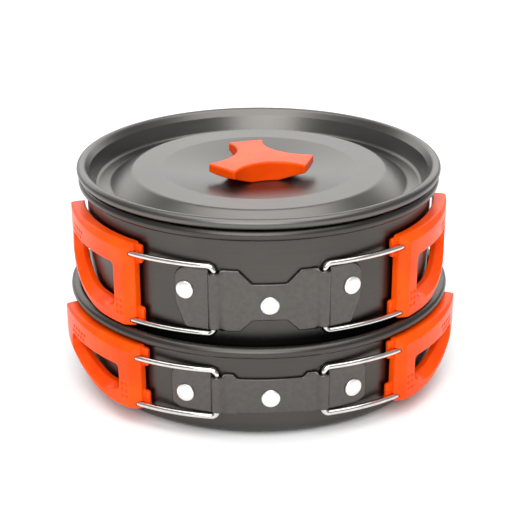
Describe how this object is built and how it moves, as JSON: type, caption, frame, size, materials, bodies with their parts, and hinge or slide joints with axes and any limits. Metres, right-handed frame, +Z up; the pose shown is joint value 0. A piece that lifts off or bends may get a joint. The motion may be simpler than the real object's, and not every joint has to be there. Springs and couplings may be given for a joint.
{
  "type": "camping cook set",
  "caption": "Lidded camping pot nested in a low frying pan, each with folding wire handles that carry open D-shaped grips and swing out to the front.",
  "frame": {"origin": "on the common axis of pot and pan, at the underside of the pan", "axes": "+Z up along the axis, -Y towards the brackets and the hinges of the handles, +X to the right seen from the front"},
  "size_m": [0.1576, 0.155, 0.0875],
  "materials": {
    "anodised_aluminium": "satin hard-anodised",
    "orange_plastic": "satin moulded",
    "wire_steel": "polished stainless",
    "rivet_aluminium": "bright",
    "screw_steel": "plain",
    "insert_brass": "plain"
  },
  "bodies": {
    "pan": {"pan_shell": "anodised_aluminium", "pan_bracket": "anodised_aluminium", "pan_rivet_left": "rivet_aluminium", "pan_rivet_centre": "rivet_aluminium", "pan_rivet_right": "rivet_aluminium"},
    "pan_left_handle": {"pan_left_wire": "wire_steel", "pan_left_grip": "orange_plastic"},
    "pan_right_handle": {"pan_right_wire": "wire_steel", "pan_right_grip": "orange_plastic"},
    "pot": {"pot_shell": "anodised_aluminium", "pot_bracket": "anodised_aluminium", "pot_rivet_left": "rivet_aluminium", "pot_rivet_centre": "rivet_aluminium", "pot_rivet_right": "rivet_aluminium"},
    "pot_left_handle": {"pot_left_wire": "wire_steel", "pot_left_grip": "orange_plastic"},
    "pot_right_handle": {"pot_right_wire": "wire_steel", "pot_right_grip": "orange_plastic"},
    "lid": {"lid_shell": "anodised_aluminium", "lid_knob": "orange_plastic", "knob_insert": "insert_brass", "knob_screw": "screw_steel", "knob_washer": "screw_steel"}
  },
  "joints": [
    {"name": "pot_lift", "type": "slide", "parent": "pan", "child": "pot", "axis": [0, 0, 1], "range_m": [0, 0.08]},
    {"name": "lid_lift", "type": "slide", "parent": "pot", "child": "lid", "axis": [0, 0, 1], "range_m": [0, 0.05]},
    {"name": "pot_left_swing", "type": "hinge", "parent": "pot", "child": "pot_left_handle", "pos_m": [-0.02023, -0.06762, 0], "axis": [0, 0, 1], "range_deg": [0, 143]},
    {"name": "pot_right_swing", "type": "hinge", "parent": "pot", "child": "pot_right_handle", "pos_m": [0.02023, -0.06762, 0], "axis": [0, 0, -1], "range_deg": [0, 143]},
    {"name": "pan_left_swing", "type": "hinge", "parent": "pan", "child": "pan_left_handle", "pos_m": [-0.01979, -0.07293, 0], "axis": [0, 0, 1], "range_deg": [0, 139]},
    {"name": "pan_right_swing", "type": "hinge", "parent": "pan", "child": "pan_right_handle", "pos_m": [0.01979, -0.07293, 0], "axis": [0, 0, -1], "range_deg": [0, 139]}
  ]
}
